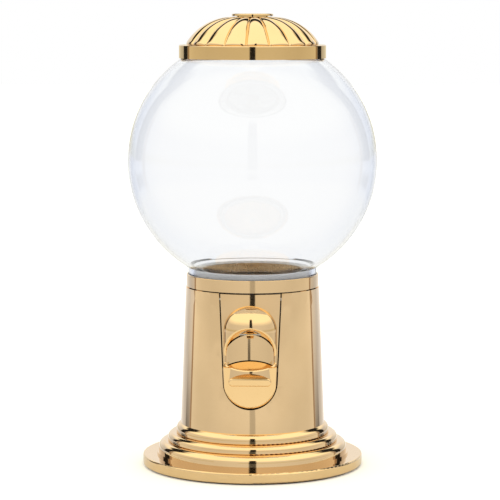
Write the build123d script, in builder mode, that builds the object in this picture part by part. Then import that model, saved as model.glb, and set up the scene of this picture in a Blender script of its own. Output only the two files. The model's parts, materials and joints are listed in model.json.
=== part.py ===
"""Table-top gumball machine: a glass globe on a stepped metal column.

A press lever in the column's front turns a six-pocket candy wheel under the globe.
Each press carries one pocket over the drop hole, and the candy slides down a chute,
past a hanging flap, and out under the lever's hood.

Millimetres, +Z up, the front faces -Y. The origin is the middle of the underside.
"""

import math
import os

from build123d import *

os.makedirs("parts", exist_ok=True)

# ---------------------------------------------------------------- driving dimensions
# base casting: felt, flange, three beads and the tapered column, all one radius about Z
felt_top = 0.8
felt_radius = 66.0
flange_radius = 68.3
flange_top = 7.1
lip_radius, lip_top = 59.6, 8.5
# beads from the lowest up: (outer radius, height where the crown starts, top)
beads = [(58.6, 11.2, 15.3), (52.8, 17.3, 20.3), (47.5, 22.4, 26.7)]
bead_foot = 0.6
column_foot_radius = 44.7
column_top = 111.6
column_top_radius = 41.3
wall = 2.0

# underside cover
cover_bottom, cover_top, cover_radius = 1.6, 2.8, 61.7
cover_screw_circle = 49.5
cover_screw_angles = (30.0, 150.0, 270.0)

# collar, neck seal and globe
collar_bottom, collar_top, collar_radius = 112.2, 119.7, 40.9
collar_floor = 115.2
seal_inner, seal_shoulder, seal_top = 31.6, 36.5, 122.5
neck_bottom, neck_radius, neck_inner = 116.7, 39.8, 36.8
globe_radius, globe_centre, glass = 76.9, 189.5, 2.0
mouth_radius, mouth_inner, mouth_top = 41.5, 38.7, 259.3

# lid
rim_bottom, rim_top, rim_radius, rim_wall = 252.8, 261.0, 45.2, 1.0
dome_arc, dome_arc_radius_at, dome_arc_drop = 34.0, 12.1, 16.9
dome_lobes, dome_wall, first_groove = 18, 1.3, -93.4
finial_radius, finial_neck, overall_height = 12.7, 9.7, 280.0

# front slot and press lever
slot_half_width, slot_centre, slot_radius = 19.3, 57.9, 16.7
lever_gap = 0.8
lever_top = 111.3
lever_wall = 2.3
pivot_y, pivot_z, pivot_radius = -33.0, 107.7, 1.25
pod_half_width, pod_centre, pod_depth, pod_back = 16.2, 88.8, 11.5, -39.0
pod_bottom = 56.0
# the niche at its mouth and at its throat: (half width, arch centre height, floor height)
niche_front = (17.8, 73.9, 66.3)
niche_back = (12.9, 73.9, 70.9)
niche_front_y, niche_back_y = -50.5, -38.5
mouth_round = 1.3
spout_thickness, spout_slope = 1.8, 1.0
stop_bar_z, stop_bar_height = 64.6, 2.2
ear_x, ear_half_width, ear_radius = 14.8, 2.4, 2.9
link_lug_x, link_lug_width, link_lug_radius = 10.0, 2.5, 3.0
tongue_top = 68.0
tongue_lean = -4.8
tongue_face_y = -46.2
ridge_length, ridge_width, ridge_rise, ridge_centre = 26.0, 5.0, 1.3, 58.8

# hanging flap in the niche
flap_pin_y, flap_pin_z, flap_pin_radius, flap_pin_end = -43.0, 87.4, 0.5, 8.5
flap_barrel, flap_barrel_end = 0.9, 2.0
flap_curve, flap_wall, flap_gap, flap_face_y = 20.0, 1.2, 0.5, -39.2

# candy wheel and its housing
wheel_radius, wheel_bottom, wheel_top = 28.4, 99.9, 112.0
pockets, pocket_circle, pocket_radius = 6, 19.0, 8.0
cup_inner, cup_outer = 28.9, 30.4
cup_bottom, cup_floor, cup_top = 97.0, 99.5, 112.5
shaft_radius = 3.0
running = 0.05
bearing_bottom, bearing_radius = 66.0, 5.5
crank_throw, crank_angle, crank_pin_radius = 9.09, -30.0, 1.25
crank_bottom, crank_top = 55.4, 57.9
link_low, link_high = 58.9, 61.3
link_z = (link_low + link_high) / 2
link_start_x, link_strap, link_eye, link_pin_head_end = 7.2, 2.5, 2.3, 6.9
hub_radius = 9.0
clip_seat = 2.5

# chute below the drop hole: the floor line runs from high to low, as (y, z)
chute_high, chute_low = (-9.0, 92.7), (-28.5, 79.2)
chute_half_width, chute_wall = 9.5, 1.5
chute_screw_x, chute_screw_y = 14.0, -15.0
chute_screw_places = ((-chute_screw_x, chute_screw_y), (chute_screw_x, chute_screw_y))

# tie screws through the column's bosses and the cup's ears into the collar
tie_circle, tie_radius = 34.6, 1.5
tie_angles = (90.0, 210.0, 330.0)
ear_bottom, ear_top = 107.0, 109.0


# ---------------------------------------------------------------- shared shapes
def column_radius(z):
    """Outer radius of the tapered column at height z."""
    foot = beads[-1][2]
    share = (z - foot) / (column_top - foot)
    return column_foot_radius + share * (column_top_radius - column_foot_radius)


def on_circle(radius, angle):
    """The point at this radius and angle about the vertical axis."""
    return radius * math.cos(math.radians(angle)), radius * math.sin(math.radians(angle))


def sphere_height(radius, at_radius):
    """How far above a sphere's centre its surface stands at this distance from the axis."""
    return math.sqrt(radius**2 - at_radius**2)


def u_outline(top_half, top_z, centre_z, radius):
    """A U: a round foot, and straight sides that spread towards the top."""
    reach = math.hypot(top_half, top_z - centre_z)
    lean = math.atan2(top_z - centre_z, top_half) - math.acos(radius / reach)
    side_x = radius * math.cos(lean)
    side_z = centre_z + radius * math.sin(lean)
    with BuildLine() as outline:
        Line((-top_half, top_z), (top_half, top_z))
        Line((top_half, top_z), (side_x, side_z))
        ThreePointArc((side_x, side_z), (0, centre_z - radius), (-side_x, side_z))
        Line((-side_x, side_z), (-top_half, top_z))
    make_face(outline.edges())


def arch_outline(half_width, centre_z, bottom_z):
    """A round-headed arch with straight sides down to bottom_z."""
    with BuildLine() as outline:
        Line((-half_width, bottom_z), (half_width, bottom_z))
        Line((half_width, bottom_z), (half_width, centre_z))
        ThreePointArc((half_width, centre_z), (0, centre_z + half_width), (-half_width, centre_z))
        Line((-half_width, centre_z), (-half_width, bottom_z))
    make_face(outline.edges())


def ring(inner, outer, low, high, mode=Mode.ADD):
    """A plain ring, or a disc when inner is 0, between two heights."""
    with BuildSketch(Plane.XY.offset(low)) as section:
        Circle(outer)
        if inner:
            Circle(inner, mode=Mode.SUBTRACT)
    extrude(section.sketch, amount=high - low, mode=mode)


def posts(circle, angles, radius, low, high, mode=Mode.ADD):
    """Round posts, or holes, at these angles on a circle about the axis."""
    with BuildSketch(Plane.XY.offset(low)) as section:
        with Locations(*[on_circle(circle, angle) for angle in angles]):
            Circle(radius)
    extrude(section.sketch, amount=high - low, mode=mode)


def bar_along_x(y, z, radius, start, end, mode=Mode.ADD):
    """A round bar, or a bore, along X through the point (y, z)."""
    with BuildSketch(Plane.YZ.offset(start)) as section:
        with Locations((y, z)):
            Circle(radius)
    extrude(section.sketch, amount=end - start, mode=mode)


def save(builder, name):
    """Labels a finished piece and writes it to its own STEP file."""
    builder.part.label = name
    export_step(builder.part, f"parts/{name}.step")


# ---------------------------------------------------------------- base casting
def base_profile():
    """Half section of the casting: flange, lip, beads and column outside, one wall inside."""
    edge = 0.9
    groove = cover_radius + 0.3
    with BuildLine() as outline:
        Line((groove, felt_top), (flange_radius - edge, felt_top))
        CenterArc((flange_radius - edge, felt_top + edge), edge, -90, 90)
        Line((flange_radius, felt_top + edge), (flange_radius, flange_top - edge))
        CenterArc((flange_radius - edge, flange_top - edge), edge, 0, 90)
        Polyline(
            (flange_radius - edge, flange_top), (lip_radius, flange_top), (lip_radius, lip_top),
            (beads[0][0], lip_top), beads[0][:2],
        )
        for (outer, widest, top), (next_outer, next_widest, _) in zip(beads, beads[1:]):
            crown = top - widest
            CenterArc((outer - crown, widest), crown, 0, 90)
            Line((outer - crown, top), (next_outer - bead_foot, top))
            CenterArc((next_outer - bead_foot, top + bead_foot), bead_foot, -90, 90)
            Line((next_outer, top + bead_foot), (next_outer, next_widest))
        # the top bead's crown ends where it meets the column
        outer, widest, top = beads[-1]
        crown = top - widest
        meets = math.degrees(math.acos((column_foot_radius - outer + crown) / crown))
        last = CenterArc((outer - crown, widest), crown, 0, meets)
        Polyline(
            last @ 1, (column_top_radius, column_top), (column_top_radius - wall, column_top),
            (column_foot_radius - wall, top), (beads[2][0] - 2 * wall, beads[1][2] - wall),
            (beads[1][0] - 2 * wall, beads[0][2] - wall),
            (beads[0][0] - 2 * wall, cover_top + wall), (beads[0][0] - 2 * wall, cover_top),
            (groove, cover_top), (groove, felt_top),
        )
    make_face(outline.edges())


def front_slot():
    """The U-shaped slot that the press lever fills."""
    with BuildSketch(Plane.XZ.offset(30)) as slot:
        u_outline(slot_half_width, column_top + 5, slot_centre, slot_radius)
    extrude(slot.sketch, amount=25, mode=Mode.SUBTRACT)


def pivot_lugs():
    """Lugs behind the slot's edges that take the ends of the lever's pin."""
    with BuildSketch(Plane.XY.offset(pivot_z - 3.4)) as lugs:
        for side in (-1, 1):
            with Locations((side * 22.0, pivot_y)):
                Rectangle(5.0, 6.4)
    extrude(lugs.sketch, amount=6.8)


def column_envelope():
    """Everything inside the column's outer face, which trims the lugs and posts."""
    with BuildSketch(Plane.XZ) as envelope:
        with BuildLine() as outline:
            Polyline(
                (0, 0), (flange_radius + 1, 0), (flange_radius + 1, beads[-1][2]),
                (column_foot_radius, beads[-1][2]), (column_top_radius, column_top), (0, column_top), (0, 0),
            )
        make_face(outline.edges())
    revolve(envelope.sketch, axis=Axis.Z, mode=Mode.INTERSECT)


with BuildPart() as base:
    with BuildSketch(Plane.XZ):
        base_profile()
    revolve(axis=Axis.Z)
    pivot_lugs()
    posts(tie_circle, tie_angles, 4.0, 100.0, ear_bottom)
    with BuildSketch(Plane.XY.offset(100.0)) as webs:
        for angle in tie_angles:
            with Locations(Location((*on_circle(tie_circle + 3.4, angle), 0), angle)):
                Rectangle(6.8, 8.0)
    extrude(webs.sketch, amount=ear_bottom - 100.0)
    posts(cover_screw_circle, cover_screw_angles, 3.6, cover_top, 13.0)
    column_envelope()
    front_slot()
    bar_along_x(pivot_y, pivot_z, pivot_radius, -21.8, 21.8, mode=Mode.SUBTRACT)
    posts(tie_circle, tie_angles, tie_radius, 99.0, 108.0, mode=Mode.SUBTRACT)
    posts(cover_screw_circle, cover_screw_angles, 1.3, cover_top - 1, 10.8, mode=Mode.SUBTRACT)
save(base, "base_column")

with BuildPart() as cover:
    ring(0, cover_radius, cover_bottom, cover_top)
    posts(cover_screw_circle, cover_screw_angles, 1.3, cover_bottom - 1, cover_top + 1, mode=Mode.SUBTRACT)
save(cover, "bottom_cover")

with BuildPart() as cover_screws:
    posts(cover_screw_circle, cover_screw_angles, 2.6, felt_top + 0.1, cover_bottom)
    posts(cover_screw_circle, cover_screw_angles, 1.3, cover_bottom, 10.0)
save(cover_screws, "bottom_cover_screws")

with BuildPart() as felt:
    ring(0, felt_radius, 0, felt_top)
save(felt, "felt_pad")


# ---------------------------------------------------------------- collar, seal and globe
with BuildPart() as collar:
    ring(seal_inner, collar_radius, collar_bottom, collar_floor)
    ring(neck_radius + 0.2, collar_radius, collar_floor, collar_top)
    top_edges = collar.edges().filter_by(GeomType.CIRCLE).group_by(Axis.Z)[-1]
    fillet(top_edges.sort_by(SortBy.LENGTH)[-1], 0.45)
    posts(tie_circle, tie_angles, 4.0, ear_top, collar_bottom)
    posts(tie_circle, tie_angles, tie_radius, ear_top - 1, 114.4, mode=Mode.SUBTRACT)
save(collar, "collar_ring")

with BuildPart() as tie_screws:
    posts(tie_circle, tie_angles, 2.8, 97.8, 100.0)
    posts(tie_circle, tie_angles, tie_radius, 100.0, 114.2)
save(tie_screws, "tie_screws")

with BuildPart() as neck_seal:
    ring(seal_inner, neck_radius, collar_floor, neck_bottom)
    ring(seal_inner, seal_shoulder, neck_bottom, seal_top)
    fillet(neck_seal.edges().filter_by(GeomType.CIRCLE).group_by(Axis.Z)[-1], 1.0)
save(neck_seal, "neck_seal")

with BuildPart() as globe:
    low_out = globe_centre - sphere_height(globe_radius, neck_radius)
    low_in = globe_centre - sphere_height(globe_radius - glass, neck_inner)
    high_out = globe_centre + sphere_height(globe_radius, mouth_radius)
    high_in = globe_centre + sphere_height(globe_radius - glass, mouth_inner)
    with BuildSketch(Plane.XZ):
        with BuildLine():
            Polyline(
                (neck_inner, low_in), (neck_inner, neck_bottom),
                (neck_radius, neck_bottom), (neck_radius, low_out),
            )
            ThreePointArc((neck_radius, low_out), (globe_radius, globe_centre), (mouth_radius, high_out))
            Polyline(
                (mouth_radius, high_out), (mouth_radius, mouth_top),
                (mouth_inner, mouth_top), (mouth_inner, high_in),
            )
            ThreePointArc((mouth_inner, high_in), (globe_radius - glass, globe_centre), (neck_inner, low_in))
        make_face()
    revolve(axis=Axis.Z)
    fillet(globe.edges().filter_by(GeomType.CIRCLE).group_by(Axis.Z)[-1], 0.9)
save(globe, "globe")


# ---------------------------------------------------------------- lid
with BuildPart() as lid_rim:
    ring(rim_radius - rim_wall, rim_radius, rim_bottom, rim_top)
    ring(36.8, rim_radius, mouth_top + 0.6, rim_top)
    top_edges = lid_rim.edges().filter_by(GeomType.CIRCLE).group_by(Axis.Z)[-1]
    fillet(top_edges.sort_by(SortBy.LENGTH)[-1], 0.6)
save(lid_rim, "lid_rim")

with BuildPart() as lid_seal:
    ring(36.8, mouth_inner - 0.4, 254.5, mouth_top + 0.6)
    ring(36.8, mouth_radius - 0.3, mouth_top + 0.1, mouth_top + 0.6)
save(lid_seal, "lid_seal")

dome_low = rim_top - dome_arc_drop


def dome_height(radius, inset):
    """Height of the dome's outer face, or of a face inset below it, at this radius."""
    return dome_low + math.sqrt((dome_arc - inset) ** 2 - max(radius - dome_arc_radius_at, 0) ** 2)


def dome_foot(inset):
    """Radius where the dome's face, or an inset one, meets the rim's top."""
    return dome_arc_radius_at + math.sqrt((dome_arc - inset) ** 2 - dome_arc_drop**2)


# one V groove down the dome, turned about the centre of the dome's arc
with BuildPart() as groove_cutter:
    with BuildSketch(Plane.XY.offset(dome_low)):
        with BuildLine():
            reach = dome_arc_radius_at + dome_arc
            Polyline((reach - 0.9, 0), (reach + 1, 1.5), (reach + 1, -1.5), (reach - 0.9, 0))
        make_face()
    revolve(axis=Axis((dome_arc_radius_at, 0, dome_low), (0, -1, 0)), revolution_arc=88)

with BuildPart() as lid_dome:
    with BuildSketch(Plane.XZ):
        with BuildLine():
            Line((2.0, dome_height(0, 0)), (dome_arc_radius_at, dome_height(0, 0)))
            mid_radius = 32.0
            ThreePointArc(
                (dome_arc_radius_at, dome_height(0, 0)), (mid_radius, dome_height(mid_radius, 0)),
                (dome_foot(0), rim_top),
            )
            Line((dome_foot(0), rim_top), (dome_foot(dome_wall), rim_top))
            ThreePointArc(
                (dome_foot(dome_wall), rim_top), (mid_radius, dome_height(mid_radius, dome_wall)),
                (dome_arc_radius_at, dome_height(0, dome_wall)),
            )
            Line((dome_arc_radius_at, dome_height(0, dome_wall)), (2.0, dome_height(0, dome_wall)))
            Line((2.0, dome_height(0, dome_wall)), (2.0, dome_height(0, 0)))
        make_face()
    revolve(axis=Axis.Z)
    for lobe in range(dome_lobes):
        add(groove_cutter.part.rotate(Axis.Z, 360 / dome_lobes * lobe + first_groove), mode=Mode.SUBTRACT)
save(lid_dome, "lid_dome")

dome_top = dome_height(0, 0)
with BuildPart() as finial:
    ring(0, finial_neck, dome_top, dome_top + 0.8)
    ring(0, finial_radius, dome_top + 0.5, overall_height)
    fillet(finial.edges().filter_by(GeomType.CIRCLE).group_by(Axis.Z)[-1], 0.6)
    ring(0, 1.5, dome_top - 1, overall_height - 0.7, mode=Mode.SUBTRACT)
save(finial, "finial")

with BuildPart() as finial_screw:
    ring(0, 4.0, dome_top - dome_wall - 2.0, dome_top - dome_wall)
    ring(0, 1.5, dome_top - dome_wall, overall_height - 0.8)
save(finial_screw, "finial_screw")


# ---------------------------------------------------------------- candy wheel and housing
with BuildPart() as cup:
    ring(0, cup_outer, cup_bottom, cup_floor)
    ring(cup_inner, cup_outer, cup_floor, cup_top)
    ring(0, bearing_radius, bearing_bottom, cup_bottom)
    # three ears that the tie screws hold under the collar
    with BuildSketch(Plane.XY.offset(ear_bottom)) as ears:
        with PolarLocations(0, len(tie_angles), tie_angles[0]):
            with Locations((tie_circle - 2.5, 0)):
                Rectangle(5.0, 7.0)
            with Locations((tie_circle, 0)):
                Circle(3.5)
    extrude(ears.sketch, amount=ear_top - ear_bottom)
    ring(0, cup_inner, cup_floor, cup_top, mode=Mode.SUBTRACT)
    ring(0, shaft_radius + running, bearing_bottom - 1, cup_floor + 1, mode=Mode.SUBTRACT)
    posts(pocket_circle, (-90.0,), pocket_radius + 0.3, cup_bottom - 1, cup_floor + 1, mode=Mode.SUBTRACT)
    posts(tie_circle, tie_angles, tie_radius, ear_bottom - 1, ear_top + 1, mode=Mode.SUBTRACT)
    with BuildSketch(Plane.XY.offset(cup_bottom - 1)) as chute_holes:
        with Locations(*chute_screw_places):
            Circle(1.0)
    extrude(chute_holes.sketch, amount=2.6, mode=Mode.SUBTRACT)
save(cup, "wheel_cup")

with BuildPart() as hopper:
    # a thin funnel ring, and the baffle that keeps candy off the pocket over the drop hole
    with BuildSketch(Plane.XZ) as section:
        with BuildLine() as outline:
            Polyline(
                (cup_inner, cup_top), (seal_inner - 0.3, cup_top), (seal_inner - 0.3, 121.5),
                (seal_inner - 1.0, 121.5), (cup_inner, 115.0), (cup_inner, cup_top),
            )
        make_face(outline.edges())
    revolve(section.sketch, axis=Axis.Z)
    with BuildSketch(Plane.XY.offset(cup_top)) as baffle:
        Circle(cup_inner + 0.5)
        Circle(hub_radius + 0.8, mode=Mode.SUBTRACT)
        with BuildLine() as sector:
            left, right = on_circle(45, -90 - 33), on_circle(45, -90 + 33)
            Polyline((0, 0), left, (0, -60), right, (0, 0))
        make_face(sector.edges(), mode=Mode.INTERSECT)
    extrude(baffle.sketch, amount=1.5)
save(hopper, "hopper_ring")

with BuildPart() as wheel:
    ring(0, wheel_radius, wheel_bottom, wheel_top)
    pocket_angles = [360 / pockets * n - 90 for n in range(pockets)]
    posts(pocket_circle, pocket_angles, pocket_radius, wheel_bottom - 1, wheel_top + 1, mode=Mode.SUBTRACT)
    ring(0, shaft_radius, wheel_bottom - 1, wheel_top + 1, mode=Mode.SUBTRACT)
save(wheel, "candy_wheel")

with BuildPart() as shaft:
    ring(0, shaft_radius, crank_bottom - 1.6, wheel_top + 2.5)
    ring(clip_seat, shaft_radius + 1, crank_bottom - 0.8, crank_bottom, mode=Mode.SUBTRACT)
save(shaft, "wheel_shaft")

with BuildPart() as hub_cap:
    ring(0, hub_radius, wheel_top, wheel_top + 5.6)
    fillet(hub_cap.edges().filter_by(GeomType.CIRCLE).group_by(Axis.Z)[-1], 4.6)
    ring(0, shaft_radius, wheel_top - 1, wheel_top + 2.5, mode=Mode.SUBTRACT)
save(hub_cap, "hub_cap")

crank_x, crank_y = on_circle(crank_throw, crank_angle)
with BuildPart() as crank:
    ring(0, 5.5, crank_bottom, crank_top)
    with BuildSketch(Plane.XY.offset(crank_bottom)) as arm:
        with Locations((crank_x, crank_y)):
            Circle(3.0)
        with Locations(Location((crank_x / 2, crank_y / 2), crank_angle)):
            Rectangle(crank_throw, 6.0)
    extrude(arm.sketch, amount=crank_top - crank_bottom)
    ring(0, shaft_radius, crank_bottom - 1, crank_top + 1, mode=Mode.SUBTRACT)
    with BuildSketch(Plane.XY.offset(crank_bottom - 1)) as bore:
        with Locations((crank_x, crank_y)):
            Circle(crank_pin_radius)
    extrude(bore.sketch, amount=crank_top - crank_bottom + 2, mode=Mode.SUBTRACT)
save(crank, "crank_arm")

with BuildPart() as crank_pin:
    with BuildSketch(Plane.XY.offset(crank_bottom)) as body:
        with Locations((crank_x, crank_y)):
            Circle(crank_pin_radius)
    extrude(body.sketch, amount=64.0 - crank_bottom)
save(crank_pin, "crank_pin")

with BuildPart() as clip:
    # an open clip below the crank that keeps it on the shaft
    ring(clip_seat, shaft_radius + 2.2, crank_bottom - 0.8, crank_bottom)
    with BuildSketch(Plane.XY.offset(crank_bottom - 1)) as mouth:
        with Locations((-4.0, 0)):
            Rectangle(6.0, 4.4)
    extrude(mouth.sketch, amount=2, mode=Mode.SUBTRACT)
save(clip, "shaft_clip")


# ---------------------------------------------------------------- chute
def chute_floor_z(y):
    """Height of the chute's floor line at this y."""
    share = (y - chute_low[0]) / (chute_high[0] - chute_low[0])
    return chute_low[1] + share * (chute_high[1] - chute_low[1])


with BuildPart() as chute:
    back = chute_high[0] + chute_wall
    outer = chute_half_width + chute_wall
    floor_drop = 1.8
    with BuildSketch(Plane.YZ.offset(-outer)) as cheek:
        with BuildLine() as outline:
            Polyline(
                (back, chute_floor_z(back) - floor_drop), (back, cup_bottom), (-27.0, cup_bottom),
                (chute_low[0], 87.0), (chute_low[0], chute_low[1] - floor_drop),
                (back, chute_floor_z(back) - floor_drop),
            )
        make_face(outline.edges())
    extrude(cheek.sketch, amount=2 * outer)
    with BuildSketch(Plane.YZ.offset(-chute_half_width)) as way:
        with BuildLine() as outline:
            Polyline(
                chute_high, (chute_high[0], cup_bottom + 1), (chute_low[0] - 1, cup_bottom + 1),
                (chute_low[0] - 1, chute_floor_z(chute_low[0] - 1)), chute_high,
            )
        make_face(outline.edges())
    extrude(way.sketch, amount=2 * chute_half_width, mode=Mode.SUBTRACT)
    with BuildSketch(Plane.XY.offset(cup_bottom - 1.8)) as ears:
        with Locations((-outer - 2.5, chute_screw_y), (outer + 2.5, chute_screw_y)):
            Rectangle(5.4, 7.0)
    extrude(ears.sketch, amount=1.8)
    with BuildSketch(Plane.XY.offset(cup_bottom - 3)) as holes:
        with Locations(*chute_screw_places):
            Circle(1.0)
    extrude(holes.sketch, amount=4, mode=Mode.SUBTRACT)
save(chute, "candy_chute")

with BuildPart() as chute_screws:
    with BuildSketch(Plane.XY.offset(cup_bottom - 3.4)) as heads:
        with Locations(*chute_screw_places):
            Circle(2.0)
    extrude(heads.sketch, amount=1.6)
    with BuildSketch(Plane.XY.offset(cup_bottom - 1.8)) as shanks:
        with Locations(*chute_screw_places):
            Circle(1.0)
    extrude(shanks.sketch, amount=3.2)
save(chute_screws, "chute_screws")


# ---------------------------------------------------------------- press lever
def lever_plate():
    """The lever's wall, which follows the column's outer face inside the slot."""
    with BuildSketch(Plane.XZ) as section:
        with BuildLine() as outline:
            low, high = tongue_top - 4, lever_top
            Polyline(
                (column_radius(low), low), (column_radius(high), high),
                (column_radius(high) - lever_wall, high), (column_radius(low) - lever_wall, low),
                (column_radius(low), low),
            )
        make_face(outline.edges())
    revolve(section.sketch, axis=Axis.Z)
    with BuildSketch(Plane.XZ.offset(25)) as slot:
        u_outline(lever_half_width, lever_top, slot_centre, slot_radius - lever_gap)
    extrude(slot.sketch, amount=30, mode=Mode.INTERSECT)


lever_half_width = slot_half_width - lever_gap - 0.25
tongue_plane = Plane(
    origin=(0, tongue_face_y, slot_centre), x_dir=(1, 0, 0),
    z_dir=(0, -math.cos(math.radians(tongue_lean)), math.sin(math.radians(tongue_lean))),
)

with BuildPart() as tongue:
    # the flat thumb plate: its face leans, so that its top stands further out than its foot
    with BuildSketch(Plane.XZ.offset(38.6)) as slot:
        u_outline(lever_half_width, lever_top, slot_centre, slot_radius - lever_gap)
        with BuildLine() as outline:
            Polyline((-20, 30), (20, 30), (20, tongue_top), (-20, tongue_top), (-20, 30))
        make_face(outline.edges(), mode=Mode.INTERSECT)
    extrude(slot.sketch, amount=12)
    split(bisect_by=tongue_plane, keep=Keep.BOTTOM)
    face = tongue.faces().sort_by(Axis.Y)[0]
    fillet(face.edges().sort_by(Axis.Z)[:3], 1.7)
    with BuildSketch(tongue_plane) as ridge:
        with Locations((0, ridge_centre - slot_centre)):
            SlotOverall(ridge_length, ridge_width)
    extrude(ridge.sketch, amount=ridge_rise)
    fillet(tongue.faces().sort_by(Axis.Y)[0].edges(), 0.9)


def niche_space(gap):
    """The niche, or the room inside it at this gap: wider at its mouth, with a floor that slopes out."""
    half, centre, floor = niche_front
    with BuildSketch(Plane.XZ.offset(-niche_front_y)) as mouth:
        arch_outline(half - gap, centre, floor + gap)
    half, centre, floor = niche_back
    with BuildSketch(Plane.XZ.offset(-niche_back_y)) as throat:
        arch_outline(half - gap, centre, floor + gap)
    loft([mouth.sketch.face(), throat.sketch.face()])
    extrude(throat.sketch, amount=-9)


with BuildPart() as niche:
    niche_space(0)

with BuildPart() as pod:
    # the hood and spout: an oval column with a domed top, hollowed by the niche
    with BuildSketch(Plane.XY.offset(pod_bottom)) as oval:
        with Locations((0, pod_back)):
            Ellipse(pod_half_width, pod_depth)
    extrude(oval.sketch, amount=pod_centre - pod_bottom)
    with BuildSketch(Plane.XY.offset(pod_centre)) as half_oval:
        with Locations((0, pod_back)):
            Ellipse(pod_half_width, pod_depth)
        with Locations((-pod_half_width, pod_back)):
            Rectangle(2 * pod_half_width, 4 * pod_depth, mode=Mode.SUBTRACT)
    revolve(half_oval.sketch, axis=Axis((0, pod_back, pod_centre), (0, 1, 0)), revolution_arc=-180)
    with Locations((0, pod_back, pod_bottom)):
        Box(60, 40, 60, align=(Align.CENTER, Align.MIN, Align.MIN), mode=Mode.SUBTRACT)
    # the spout's underside slopes in from below its lip to the thumb plate's face
    with BuildSketch(Plane.YZ) as below:
        with BuildLine() as outline:
            lip_z = niche_front[2] - spout_thickness
            in_y = pod_back + 1
            in_z = lip_z - spout_slope * (in_y - niche_front_y)
            out_y, out_z = niche_front_y - 2, lip_z + 2 * spout_slope
            low_z = pod_bottom - 8
            Polyline((out_y, out_z), (out_y, low_z), (in_y, low_z), (in_y, in_z), (out_y, out_z))
        make_face(outline.edges())
    extrude(below.sketch, amount=20, both=True, mode=Mode.SUBTRACT)
    add(niche.part, mode=Mode.SUBTRACT)
    # the edge all round the niche's mouth is rounded
    on_front = pod.edges().filter_by(lambda edge: edge.center().Y < niche_back_y - 5)
    fillet(on_front.filter_by(lambda edge: edge.center().Z > lip_z + 1), mouth_round)

with BuildPart() as lever:
    lever_plate()
    add(tongue.part)
    add(pod.part)
    # the ramp that carries the niche's floor back under the chute, between two cheeks
    ramp_rise = (niche_back[2] - niche_front[2]) / (niche_back_y - niche_front_y)
    ramp_start, ramp_end, ramp_thickness = -40.5, -30.0, 1.8
    ramp_start_z = niche_back[2] + ramp_rise * (ramp_start - niche_back_y)
    ramp_end_z = niche_back[2] + ramp_rise * (ramp_end - niche_back_y)
    cheek_inner, cheek_outer = 12.1, 13.6
    with BuildSketch(Plane.YZ) as ramp:
        with BuildLine() as outline:
            Polyline(
                (ramp_start, ramp_start_z - ramp_thickness), (ramp_end, ramp_end_z - ramp_thickness),
                (ramp_end, 84.0), (-36.5, 87.5), (ramp_start, 87.5),
                (ramp_start, ramp_start_z - ramp_thickness),
            )
        make_face(outline.edges())
    extrude(ramp.sketch, amount=cheek_outer, both=True)
    with BuildSketch(Plane.YZ) as way:
        with BuildLine() as outline:
            Polyline(
                (niche_back_y, niche_back[2]), (ramp_end + 1, ramp_end_z + ramp_rise), (ramp_end + 1, 90),
                (-37.5, 90), (niche_back_y, 89), (niche_back_y, niche_back[2]),
            )
        make_face(outline.edges())
    extrude(way.sketch, amount=cheek_inner, both=True, mode=Mode.SUBTRACT)
    add(niche.part, mode=Mode.SUBTRACT)
    # the bar that stops against the inside of the column, wider than the slot
    with Locations((0, -37.6, stop_bar_z)):
        Box(24, 7.0, stop_bar_height)
    with Locations((0, -35.0, stop_bar_z)):
        Box(2 * slot_half_width, 1.8, stop_bar_height)
    # hinge ears for the pivot pin, and the lug for the link's pin
    for side in (-1, 1):
        with BuildSketch(Plane.YZ.offset(side * ear_x)) as ear:
            with Locations((pivot_y, pivot_z)):
                Circle(ear_radius)
            with BuildLine() as outline:
                low, high, root_y = pivot_z - ear_radius, pivot_z + ear_radius, -37.5
                Polyline(
                    (pivot_y, low), (pivot_y, high), (root_y, high), (root_y, pivot_z - 6), (pivot_y, low),
                )
            make_face(outline.edges())
        extrude(ear.sketch, amount=ear_half_width, both=True)
    with BuildSketch(Plane.YZ.offset(link_lug_x)) as lug:
        with Locations((pivot_y, link_z)):
            Circle(link_lug_radius)
        with BuildLine() as outline:
            low, high, root_y = link_z - link_lug_radius, link_z + link_lug_radius, -42.5
            Polyline((pivot_y, low), (pivot_y, high), (root_y, high), (root_y, low), (pivot_y, low))
        make_face(outline.edges())
    extrude(lug.sketch, amount=link_lug_width)
    bar_along_x(pivot_y, pivot_z, pivot_radius + running, -19, 19, mode=Mode.SUBTRACT)
    lug_end = link_lug_x + link_lug_width
    bar_along_x(pivot_y, link_z, crank_pin_radius, link_lug_x - 1, lug_end, mode=Mode.SUBTRACT)
    bar_along_x(flap_pin_y, flap_pin_z, flap_pin_radius, -flap_pin_end, flap_pin_end, mode=Mode.SUBTRACT)
save(lever, "press_lever")

with BuildPart() as lever_pin:
    bar_along_x(pivot_y, pivot_z, pivot_radius, -21.6, 21.6)
save(lever_pin, "lever_pin")

with BuildPart() as link_pin:
    bar_along_x(pivot_y, link_z, crank_pin_radius, link_pin_head_end, lug_end)
    bar_along_x(pivot_y, link_z, 2.3, link_pin_head_end - 1.0, link_pin_head_end)
save(link_pin, "link_pin")

link_x = crank_throw * (1 + math.cos(math.radians(crank_angle))) / 2
with BuildPart() as link:
    bar_along_x(pivot_y, link_z, 3.0, link_start_x, link_start_x + link_strap)
    with BuildSketch(Plane.XY.offset(link_low)) as strap:
        with Locations((link_start_x + link_strap / 2, (pivot_y + crank_y) / 2)):
            Rectangle(link_strap, crank_y - pivot_y)
        with Locations((link_x, crank_y)):
            Circle(link_eye + 2.0)
    extrude(strap.sketch, amount=link_high - link_low)
    with BuildSketch(Plane.XY.offset(link_low - 1)) as eye:
        with Locations((link_x, crank_y)):
            Circle(link_eye)
    extrude(eye.sketch, amount=link_high - link_low + 2, mode=Mode.SUBTRACT)
    bar_along_x(pivot_y, link_z, crank_pin_radius + running, link_start_x - 1, link_start_x + link_strap + 1,
                mode=Mode.SUBTRACT)
save(link, "push_link")

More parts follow.
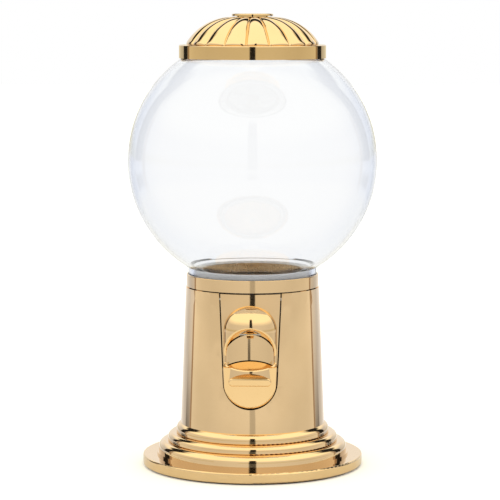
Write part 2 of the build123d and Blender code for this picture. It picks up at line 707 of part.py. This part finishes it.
with BuildPart() as spring:
    # a torsion spring round the lever's pin, one leg towards the lever and one on the cup's wall
    wire, coil, turns, first_x, leg_end = 0.4, 2.15, 5, 7.2, 101.5
    last_x = first_x + turns * 2 * wire
    pin_plane = Plane((0, pivot_y, pivot_z), x_dir=(1, 0, 0), z_dir=(0, -1, 0))
    with BuildSketch(pin_plane) as section:
        with BuildLine() as outline:
            Polyline((first_x, coil), (first_x, coil - wire), (last_x, coil - wire), (last_x, coil))
            for turn in range(turns):
                x = first_x + 2 * wire * turn
                ThreePointArc((x, coil), (x + wire, coil + wire), (x + 2 * wire, coil))
        make_face(outline.edges())
    revolve(section.sketch, axis=Axis((0, pivot_y, pivot_z), (1, 0, 0)))
    for x, y in ((first_x + wire, pivot_y - coil), (last_x - wire, pivot_y + coil)):
        with BuildSketch(Plane.XY.offset(leg_end)) as leg:
            with Locations((x, y)):
                Circle(0.9 * wire)
        extrude(leg.sketch, amount=pivot_z - leg_end)
save(spring, "lever_spring")


# ---------------------------------------------------------------- flap
with BuildPart() as flap:
    # a door that is hollow towards the front and fills the niche, hung on a tab from its pin
    niche_space(flap_gap)
    with BuildSketch(Plane.XY.offset(pod_bottom)) as band:
        # kept just inside the hood's oval face
        with Locations((0, pod_back)):
            Ellipse(pod_half_width - 0.4, pod_depth - 0.4)
            Rectangle(2 * pod_half_width, 4, align=(Align.CENTER, Align.MIN))
        with Locations((0, flap_face_y - flap_curve)):
            Circle(flap_curve + flap_wall, mode=Mode.INTERSECT)
            Circle(flap_curve, mode=Mode.SUBTRACT)
    extrude(band.sketch, amount=pod_centre + pod_half_width - pod_bottom, mode=Mode.INTERSECT)
    with BuildSketch(Plane.YZ) as tab:
        with BuildLine() as outline:
            back_y = flap_face_y + flap_wall / 2
            Polyline(
                (flap_pin_y, flap_pin_z - 0.5), (flap_pin_y, flap_pin_z + 0.5), (back_y, flap_pin_z - 1.2),
                (back_y, flap_pin_z - 3.0), (flap_face_y, flap_pin_z - 3.0), (flap_pin_y, flap_pin_z - 0.5),
            )
        make_face(outline.edges())
    extrude(tab.sketch, amount=flap_barrel_end, both=True)
    bar_along_x(flap_pin_y, flap_pin_z, flap_barrel, -flap_barrel_end, flap_barrel_end)
    bore = flap_pin_radius + running
    bar_along_x(flap_pin_y, flap_pin_z, bore, -flap_pin_end, flap_pin_end, mode=Mode.SUBTRACT)
save(flap, "flap_door")

with BuildPart() as flap_pin:
    bar_along_x(flap_pin_y, flap_pin_z, flap_pin_radius, -flap_pin_end, flap_pin_end)
save(flap_pin, "flap_pin")
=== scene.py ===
"""Studio picture of a polished gold gumball machine with a clear glass globe.

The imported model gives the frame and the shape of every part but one. The lid's plain dome is
replaced here by a fluted shell of the same outline, worked out in millimetres, that rides on the lid.
"""

import json
import math

import bpy
import numpy as np
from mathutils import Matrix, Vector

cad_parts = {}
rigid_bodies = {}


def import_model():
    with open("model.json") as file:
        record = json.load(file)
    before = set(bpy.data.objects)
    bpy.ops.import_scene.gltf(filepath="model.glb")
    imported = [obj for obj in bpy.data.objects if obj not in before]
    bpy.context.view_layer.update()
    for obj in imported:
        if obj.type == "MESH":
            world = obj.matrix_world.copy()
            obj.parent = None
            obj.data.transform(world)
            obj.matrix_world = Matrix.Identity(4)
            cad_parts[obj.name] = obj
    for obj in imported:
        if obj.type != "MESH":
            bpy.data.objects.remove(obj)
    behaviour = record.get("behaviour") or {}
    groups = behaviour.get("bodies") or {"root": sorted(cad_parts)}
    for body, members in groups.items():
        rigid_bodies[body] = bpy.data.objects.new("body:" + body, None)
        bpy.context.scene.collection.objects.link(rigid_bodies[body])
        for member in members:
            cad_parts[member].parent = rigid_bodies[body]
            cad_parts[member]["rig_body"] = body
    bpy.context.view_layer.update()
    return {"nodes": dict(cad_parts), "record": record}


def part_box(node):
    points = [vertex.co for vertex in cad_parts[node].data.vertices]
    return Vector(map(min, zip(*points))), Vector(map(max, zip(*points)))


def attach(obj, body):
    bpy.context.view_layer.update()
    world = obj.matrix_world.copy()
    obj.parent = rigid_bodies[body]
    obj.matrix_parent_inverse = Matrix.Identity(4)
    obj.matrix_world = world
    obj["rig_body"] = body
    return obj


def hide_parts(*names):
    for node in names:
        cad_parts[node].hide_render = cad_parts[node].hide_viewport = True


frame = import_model()
MM = 0.001


def extent(node):
    """Lowest and highest corner of a CAD node, in millimetres."""
    low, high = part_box(node)
    return np.array(low) / MM, np.array(high) / MM


# ---------------------------------------------------------------- camera
LENS, SENSOR = 166.5, 36
CAMERA_DISTANCE, CAMERA_HEIGHT = 1.426, 0.292
CAMERA_AZIMUTH, CAMERA_DROP = 2.0, 6.32
FRAME_SHIFT = -0.005


def add_camera():
    """A long lens a little above the machine's middle, looking slightly down."""
    camera = bpy.data.objects.new("camera", bpy.data.cameras.new("camera"))
    camera.data.lens = LENS
    camera.data.sensor_width = SENSOR
    camera.data.shift_x = FRAME_SHIFT
    camera.data.clip_end = 50
    around = math.radians(CAMERA_AZIMUTH)
    camera.location = (
        CAMERA_DISTANCE * math.sin(around), -CAMERA_DISTANCE * math.cos(around), CAMERA_HEIGHT,
    )
    camera.rotation_euler = (math.radians(90 - CAMERA_DROP), 0, around)
    bpy.context.scene.collection.objects.link(camera)
    bpy.context.scene.camera = camera


# ---------------------------------------------------------------- node helpers
class Nodes:
    """A short way to add and wire shader nodes."""

    def __init__(self, tree):
        self.tree = tree
        tree.nodes.clear()

    def add(self, kind, inputs=None, **settings):
        node = self.tree.nodes.new(kind)
        for name, value in settings.items():
            setattr(node, name, value)
        for name, value in (inputs or {}).items():
            if isinstance(value, bpy.types.NodeSocket):
                self.tree.links.new(value, node.inputs[name])
            else:
                node.inputs[name].default_value = value
        return node

    def ramp(self, factor, stops):
        """A colour ramp from (position, colour) stops."""
        node = self.add("ShaderNodeValToRGB", {"Fac": factor})
        elements = node.color_ramp.elements
        while len(elements) < len(stops):
            elements.new(0.5)
        for element, (position, colour) in zip(elements, stops):
            element.position = position
            element.color = (*colour, 1)
        return node.outputs["Color"]

    def noise(self, scale, detail, roughness=0.5):
        """Noise over object coordinates."""
        node = self.add("ShaderNodeTexNoise", {
            "Vector": self.add("ShaderNodeTexCoord").outputs["Object"],
            "Scale": scale, "Detail": detail, "Roughness": roughness,
        })
        return node.outputs["Fac"]

    def bump(self, height, strength, distance, below=None):
        """A bumped normal, on top of another bumped normal where one is given."""
        inputs = {"Height": height, "Strength": strength, "Distance": distance}
        if below is not None:
            inputs["Normal"] = below
        return self.add("ShaderNodeBump", inputs).outputs["Normal"]

    def spread(self, factor, low, high):
        """A number between low and high that follows factor."""
        node = self.add("ShaderNodeMapRange", {"Value": factor, "To Min": low, "To Max": high})
        return node.outputs["Result"]


def grey(level):
    return (level, level, level)


def new_material(name):
    material = bpy.data.materials.new(name)
    material.use_nodes = True
    return material, Nodes(material.node_tree)


def finish_material(nodes, shader):
    nodes.add("ShaderNodeOutputMaterial", {"Surface": shader.outputs["BSDF"]})


# ---------------------------------------------------------------- materials
def gold_material(name, light, deep, roughness, ripple):
    """Polished pale gold plate: faint cloudiness, fine polishing marks and a slight waviness."""
    material, nodes = new_material(name)
    cloud = nodes.noise(38, 3)
    fine = nodes.noise(420, 5, roughness=0.6)
    waved = nodes.bump(nodes.noise(26, 1), ripple, 0.6 * MM)
    shader = nodes.add("ShaderNodeBsdfPrincipled", {
        "Base Color": nodes.ramp(cloud, ((0.3, deep), (0.7, light))),
        "Metallic": 1.0,
        "Roughness": nodes.spread(fine, roughness * 0.7, roughness * 1.5),
        "Normal": nodes.bump(fine, 0.012, 0.2 * MM, waved),
    })
    finish_material(nodes, shader)
    return material


def glass_material():
    """Clear blown glass, very slightly wavy. Its own faint cool tint turns a cool grey where the wall is seen
    edge on, and that grey is painted shade for the darker surroundings seen through the edges.
    """
    material, nodes = new_material("clear_glass")
    facing = nodes.add("ShaderNodeLayerWeight", {"Blend": 0.5}).outputs["Facing"]
    shader = nodes.add("ShaderNodeBsdfPrincipled", {
        # painted shade: the colour goes from the glass's own near-white tint to a cool grey as the wall turns
        # edge on
        "Base Color": nodes.ramp(facing, (
            (0.0, (0.987, 0.991, 0.995)), (0.45, (0.978, 0.984, 0.993)), (0.75, (0.93, 0.945, 0.97)),
            (0.93, (0.76, 0.80, 0.865)), (1.0, (0.48, 0.52, 0.60)),
        )),
        "Roughness": 0.0, "IOR": 1.47, "Transmission Weight": 1.0,
        "Normal": nodes.bump(nodes.noise(14, 2), 0.05, MM),
    })
    finish_material(nodes, shader)
    return material


def grained_material(name, light, deep, roughness, scale, graininess,
                     metallic=0.0, sheen=0.0, translucent=0.0):
    """A matt or satin material with a mottled colour and a fine surface grain."""
    material, nodes = new_material(name)
    mottle = nodes.noise(scale, 4)
    grain = nodes.noise(scale * 14, 3)
    shader = nodes.add("ShaderNodeBsdfPrincipled", {
        "Base Color": nodes.ramp(mottle, ((0.3, deep), (0.7, light))),
        "Metallic": metallic,
        "Roughness": nodes.spread(grain, roughness * 0.85, roughness * 1.15),
        "Sheen Weight": sheen,
        "Subsurface Weight": translucent,
        "Subsurface Radius": (2 * MM, 2 * MM, 2 * MM),
        "Subsurface Scale": 0.5,
        "Normal": nodes.bump(grain, graininess, 0.4 * MM),
    })
    finish_material(nodes, shader)
    return material


def make_materials():
    """One material for each slot of the record, keyed by the slot's name."""
    made = {"clear_glass": glass_material()}
    for name, light, deep, roughness, ripple in (
        ("polished_gold", (0.85, 0.605, 0.328), (0.805, 0.565, 0.298), 0.055, 0.10),
        # dull_brass: a rougher brass whose dark brown colour is painted shade for the hopper down inside the
        # machine
        ("dull_brass", (0.30, 0.195, 0.105), (0.20, 0.125, 0.066), 0.26, 0.2),
    ):
        made[name] = gold_material(name, light, deep, roughness, ripple)
    for name, light, deep, roughness, scale, graininess, more in (
        ("white_silicone", (0.98, 0.975, 0.965), (0.95, 0.945, 0.93), 0.35, 60, 0.15, {"translucent": 0.1}),
        ("clear_silicone", (0.85, 0.87, 0.87), (0.76, 0.78, 0.78), 0.3, 60, 0.15, {}),
        ("white_plastic", (0.86, 0.84, 0.78), (0.78, 0.76, 0.70), 0.38, 80, 0.25, {}),
        ("steel", (0.60, 0.60, 0.60), (0.48, 0.48, 0.49), 0.28, 160, 0.2, {"metallic": 1.0}),
        ("dark_felt", (0.045, 0.04, 0.035), (0.02, 0.018, 0.016), 0.9, 500, 0.9, {"sheen": 0.4}),
    ):
        made[name] = grained_material(name, light, deep, roughness, scale, graininess, **more)
    return made


# ---------------------------------------------------------------- mesh helpers
def ring_piece(name, points):
    """A smooth ring-shaped mesh from points [around][along], both closed, with normals from their slopes."""
    rows, columns, _ = points.shape
    around_slope = (np.roll(points, -1, 0) - np.roll(points, 1, 0)) / 2
    along_slope = (np.roll(points, -1, 1) - np.roll(points, 1, 1)) / 2
    here, along = np.meshgrid(np.arange(rows), np.arange(columns), indexing="ij")
    beyond, next_along = (here + 1) % rows, (along + 1) % columns
    corners = ((here, along), (beyond, along), (beyond, next_along), (here, next_along))
    quads = np.stack([row * columns + column for row, column in corners], -1).reshape(-1, 4)
    mesh = bpy.data.meshes.new(name)
    mesh.from_pydata((points.reshape(-1, 3) * MM).tolist(), [], quads.tolist())
    normals = np.cross(around_slope, along_slope)
    normals /= np.maximum(np.linalg.norm(normals, axis=-1, keepdims=True), 1e-12)
    mesh.polygons.foreach_set("use_smooth", [True] * len(mesh.polygons))
    mesh.normals_split_custom_set_from_vertices(normals.reshape(-1, 3).tolist())
    mesh.update()
    piece = bpy.data.objects.new(name, mesh)
    bpy.context.scene.collection.objects.link(piece)
    return piece


# ---------------------------------------------------------------- lid dome
DOME_ARC, DOME_ARC_AT = 34.0, 12.1
LOBES, STEPS_PER_LOBE, FIRST_GROOVE = 18, 22, -93.4
DOME_WALL, DOME_HOLE, FOOT_CURL = 1.3, 2.2, 1.1
# each lobe is a gentle pillow this deep, and between two lobes runs a narrow V
PILLOW, GROOVE, GROOVE_SHARE = 1.15, 0.95, 0.075


def dome_outline(centre_z, foot_z, inset):
    """Points down the dome's face from its middle to the rim: (radius, height, share of the way down)."""
    radius = DOME_ARC - inset
    last = math.acos((foot_z - centre_z) / radius)
    flat = [(r, centre_z + radius, 0.0) for r in np.linspace(DOME_HOLE, DOME_ARC_AT, 6, endpoint=False)]
    bend = [(DOME_ARC_AT + radius * math.sin(t), centre_z + radius * math.cos(t), t / last)
            for t in np.linspace(0, last, 54)]
    return np.array(flat + bend)


def make_lid_dome():
    """The lid's dome: eighteen pillowed lobes between sharp grooves, as one pressed shell."""
    low, high = extent("lid_dome")
    centre_z = high[2] - DOME_ARC
    outer = dome_outline(centre_z, low[2], 0.0)
    inner = dome_outline(centre_z, low[2], DOME_WALL)[::-1]
    # the lobes' ends curl in where they meet the rim
    curl = np.clip((outer[:, 2] - 0.93) / 0.07, 0, 1) ** 2 * FOOT_CURL
    outer[:, 0] -= curl
    path = np.concatenate([outer, inner])
    fade = np.interp(path[:, 2], (0.0, 0.06, 0.45, 0.85, 1.0), (0.0, 0.35, 1.0, 1.0, 0.8))
    # the steps crowd towards the grooves, where the surface bends most
    even = np.linspace(-1, 1, STEPS_PER_LOBE, endpoint=False)
    crowded = np.sign(even) * (1 - (1 - np.abs(even)) ** 1.5)
    across = np.tile((crowded + 1) / 2, LOBES)
    angle = (np.repeat(np.arange(LOBES), STEPS_PER_LOBE) + across) / LOBES * 2 * math.pi
    beside = np.minimum(across, 1 - across)
    valley = PILLOW * (1 - 2 * beside) ** 2 + GROOVE * np.clip(1 - beside / GROOVE_SHARE, 0, 1)
    sink = np.outer(valley, fade)
    # the grooves sink towards the centre of the dome's arc
    towards = np.stack([path[:, 0] - DOME_ARC_AT, path[:, 1] - centre_z], -1)
    towards[path[:, 0] < DOME_ARC_AT] = (0.0, 1.0)
    towards /= np.linalg.norm(towards, axis=-1, keepdims=True)
    radius = path[:, 0] - sink * towards[:, 0]
    height = np.maximum(path[:, 1] - sink * towards[:, 1], low[2])
    turn = angle + math.radians(FIRST_GROOVE)
    points = np.stack([radius * np.cos(turn)[:, None], radius * np.sin(turn)[:, None], height], -1)
    return ring_piece("fluted_dome", points)


def stand_in(piece, node, slot, materials):
    """The piece takes this CAD node's place, body and finish."""
    piece.data.materials.append(materials[slot])
    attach(piece, frame["nodes"][node]["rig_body"])
    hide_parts(node)


# ---------------------------------------------------------------- surroundings
FLOOR_SIZE, FLOOR_Z = 12, -0.1 * MM
DISC_RADIUS, DISC_Z = 100 * MM, -0.2 * MM


def floor_material(name, level, glow):
    """A matt, faintly mottled surface of this grey level, clear when seen from below."""
    material, nodes = new_material(name)
    mottle = nodes.noise(3, 3)
    below = nodes.add("ShaderNodeNewGeometry").outputs["Backfacing"]
    above = nodes.add("ShaderNodeMath", {0: 1.0, 1: below}, operation="SUBTRACT").outputs[0]
    shader = nodes.add("ShaderNodeBsdfPrincipled", {
        "Base Color": nodes.ramp(mottle, ((0.3, grey(level - 0.01)), (0.7, grey(level + 0.01)))),
        "Alpha": above,
        "Roughness": 0.9, "Specular IOR Level": 0.0,
        "Emission Color": (1, 1, 1, 1), "Emission Strength": glow,
    })
    finish_material(nodes, shader)
    return material


def add_floor():
    """A wide pale floor, and a small disc of it near the foot that alone shows in the metal."""
    bpy.ops.mesh.primitive_plane_add(size=FLOOR_SIZE, location=(0, 0, FLOOR_Z))
    floor = bpy.context.object
    floor.name = "floor"
    floor.data.materials.append(floor_material("pale_floor", 0.94, 0.10))
    floor.visible_glossy = floor.visible_transmission = False
    bpy.ops.mesh.primitive_circle_add(
        vertices=96, radius=DISC_RADIUS, fill_type="NGON", location=(0, 0, DISC_Z),
    )
    disc = bpy.context.object
    disc.name = "floor_near"
    disc.data.materials.append(floor_material("near_floor", 0.76, 0.0))
    disc.visible_camera = disc.visible_diffuse = disc.visible_transmission = disc.visible_shadow = False


def sine(degrees):
    return math.sin(math.radians(degrees))


def colours_over(nodes, value, stops):
    """The colour that follows value through (value, colour) stops, from the first to the last."""
    low, high = stops[0][0], stops[-1][0]
    share = nodes.add("ShaderNodeMapRange", {"Value": value, "From Min": low, "From Max": high})
    return nodes.ramp(share.outputs["Result"], [((at - low) / (high - low), colour) for at, colour in stops])


def levels_over(nodes, value, stops):
    """The grey level that follows value through (value, level) stops."""
    return colours_over(nodes, value, [(at, grey(level)) for at, level in stops])


def levels_up(nodes, up, stops):
    """The grey level that follows the elevation through (degrees, level) stops."""
    return levels_over(nodes, up, [(sine(at), level) for at, level in stops])


def add_surroundings():
    """A studio tent as the world: bright walls and roof, a slit for the lens, and dark gaps at the sides."""
    world = bpy.data.worlds.new("studio")
    bpy.context.scene.world = world
    world.use_nodes = True
    nodes = Nodes(world.node_tree)

    def maths(operation, first, second=0.0):
        return nodes.add("ShaderNodeMath", {0: first, 1: second}, operation=operation).outputs[0]

    def mix(factor, first, second):
        return nodes.add("ShaderNodeMixRGB", {"Fac": factor, 1: first, 2: second}).outputs[0]

    where = nodes.add("ShaderNodeTexCoord").outputs["Generated"]
    turned = nodes.add("ShaderNodeVectorRotate", {"Vector": where, "Angle": -math.radians(CAMERA_AZIMUTH)},
                       rotation_type="Z_AXIS")
    axes = nodes.add("ShaderNodeSeparateXYZ", {"Vector": turned.outputs["Vector"]})
    up = axes.outputs["Z"]
    # degrees round from the lens: 0 in front of the machine, 180 straight behind it
    side, front = maths("ABSOLUTE", axes.outputs["X"]), maths("MULTIPLY", axes.outputs["Y"], -1.0)
    around = maths("MULTIPLY", maths("ARCTAN2", side, front), 180 / math.pi)

    wall = colours_over(nodes, around, (
        (0, grey(0.88)), (30, grey(0.86)), (75, grey(0.80)), (100, grey(0.84)), (116, grey(0.92)),
        (118, (0.40, 0.30, 0.22)), (120, (0.40, 0.30, 0.22)), (123, (0.78, 0.82, 0.95)),
        (140, (0.66, 0.71, 0.84)), (152, (0.80, 0.84, 0.92)), (162, grey(1.0)), (180, grey(1.0)),
    ))
    # the walls are warmer and dimmer at the horizon, and brightest just below it
    tint = colours_over(nodes, up, [(sine(at), colour) for at, colour in (
        (-14, grey(1.0)), (-11.8, grey(0.98)), (-8.0, grey(0.95)), (-7.0, grey(0.97)), (-5.6, grey(1.10)),
        (-4.1, grey(0.97)), (-2.8, (0.97, 0.94, 0.92)), (-1.8, (0.84, 0.79, 0.60)), (0, (0.84, 0.79, 0.60)),
        (3.5, grey(1.0)), (4, grey(1.0)),
    )])
    wall = nodes.add("ShaderNodeMixRGB", {"Fac": 1.0, 1: wall, 2: tint}, blend_type="MULTIPLY").outputs[0]
    roof = levels_up(nodes, up, ((16, 0), (30, 1), (90, 1)))
    table = levels_up(nodes, up, ((-90, 1), (-18, 1), (-12, 0)))
    lit = mix(roof, wall, (1.45, 1.43, 1.22, 1))
    lit = mix(table, lit, (1.12, 1.08, 0.92, 1))

    # dark to the metal: the slit round the lens, a gap at each side, and the studio above the backdrop
    slit = levels_over(nodes, around, ((0, 1), (4, 1), (5, 0), (180, 0)))
    slit_high = levels_up(nodes, up, (
        (-14, 0), (-12.8, 0.9), (-9, 0.9), (-8, 0.35), (-4.5, 0.35), (-3.5, 1), (36, 1), (42, 0),
    ))
    gap = levels_over(nodes, around, ((0, 0), (121, 0), (123, 1), (136, 1), (138, 0), (180, 0)))
    gap_high = levels_up(nodes, up, (
        (-14, 0), (-12, 0.7), (-9, 0.7), (-7, 0), (-3, 0), (-2.2, 1), (40, 1), (52, 0),
    ))
    behind = levels_over(nodes, around, ((0, 0), (112, 0), (130, 1), (180, 1)))
    behind_high = levels_up(nodes, up, ((0, 0), (26, 0), (30, 1), (41, 1), (46, 0)))
    dark = maths("MAXIMUM", maths("MULTIPLY", slit, slit_high), maths("MULTIPLY", gap, gap_high))
    dark = maths("MAXIMUM", dark, maths("MULTIPLY", behind, behind_high))

    # only mirrored rays meet the dark places; glass looks through to a plain pale backdrop, the lens to white
    rays = nodes.add("ShaderNodeLightPath").outputs
    seen = mix(maths("MULTIPLY", dark, rays["Is Glossy Ray"]), lit, (*grey(0.02), 1))
    through = colours_over(nodes, around, (
        (0, grey(0.93)), (100, grey(0.90)), (130, (0.66, 0.70, 0.80)), (150, (0.80, 0.84, 0.92)),
        (163, grey(1.0)), (180, grey(1.0)),
    ))
    seen = mix(rays["Is Transmission Ray"], seen, through)
    seen = mix(rays["Is Camera Ray"], seen, (*grey(1.0), 1))
    shader = nodes.add("ShaderNodeBackground", {"Color": seen, "Strength": 1.0})
    nodes.add("ShaderNodeOutputWorld", {"Surface": shader.outputs["Background"]})
    bpy.context.scene.view_settings.view_transform = "Standard"


# ---------------------------------------------------------------- assembly
add_camera()
materials = make_materials()
for entry in frame["record"]["subparts"]:
    node = frame["nodes"][entry["node"]]
    node.data.materials.clear()
    node.data.materials.append(materials[entry["material_slot"]])
stand_in(make_lid_dome(), "lid_dome", "polished_gold", materials)
add_floor()
add_surroundings()
